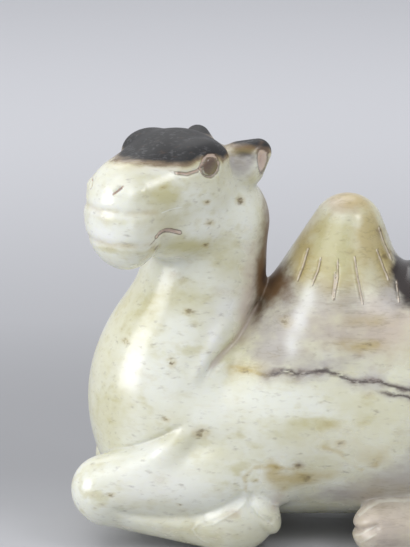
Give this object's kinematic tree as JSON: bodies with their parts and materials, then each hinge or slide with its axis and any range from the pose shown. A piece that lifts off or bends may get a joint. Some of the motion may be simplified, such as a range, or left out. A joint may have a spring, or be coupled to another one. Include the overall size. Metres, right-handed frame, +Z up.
{
  "type": "animal figure",
  "caption": "Recumbent two-humped camel carved from pale jade with a dark skin, legs folded under and head turned to its left",
  "frame": {"origin": "on the surface that the figure lies on, under the middle of its box", "axes": "+Z up, the camel faces -X and its left side, to which the head turns, is -Y"},
  "size_m": [0.0772, 0.0354, 0.0626],
  "materials": {
    "jade": "polished pale green-white stone with dark brown skin"
  },
  "bodies": {
    "root": {"camel": "jade"}
  },
  "joints": []
}
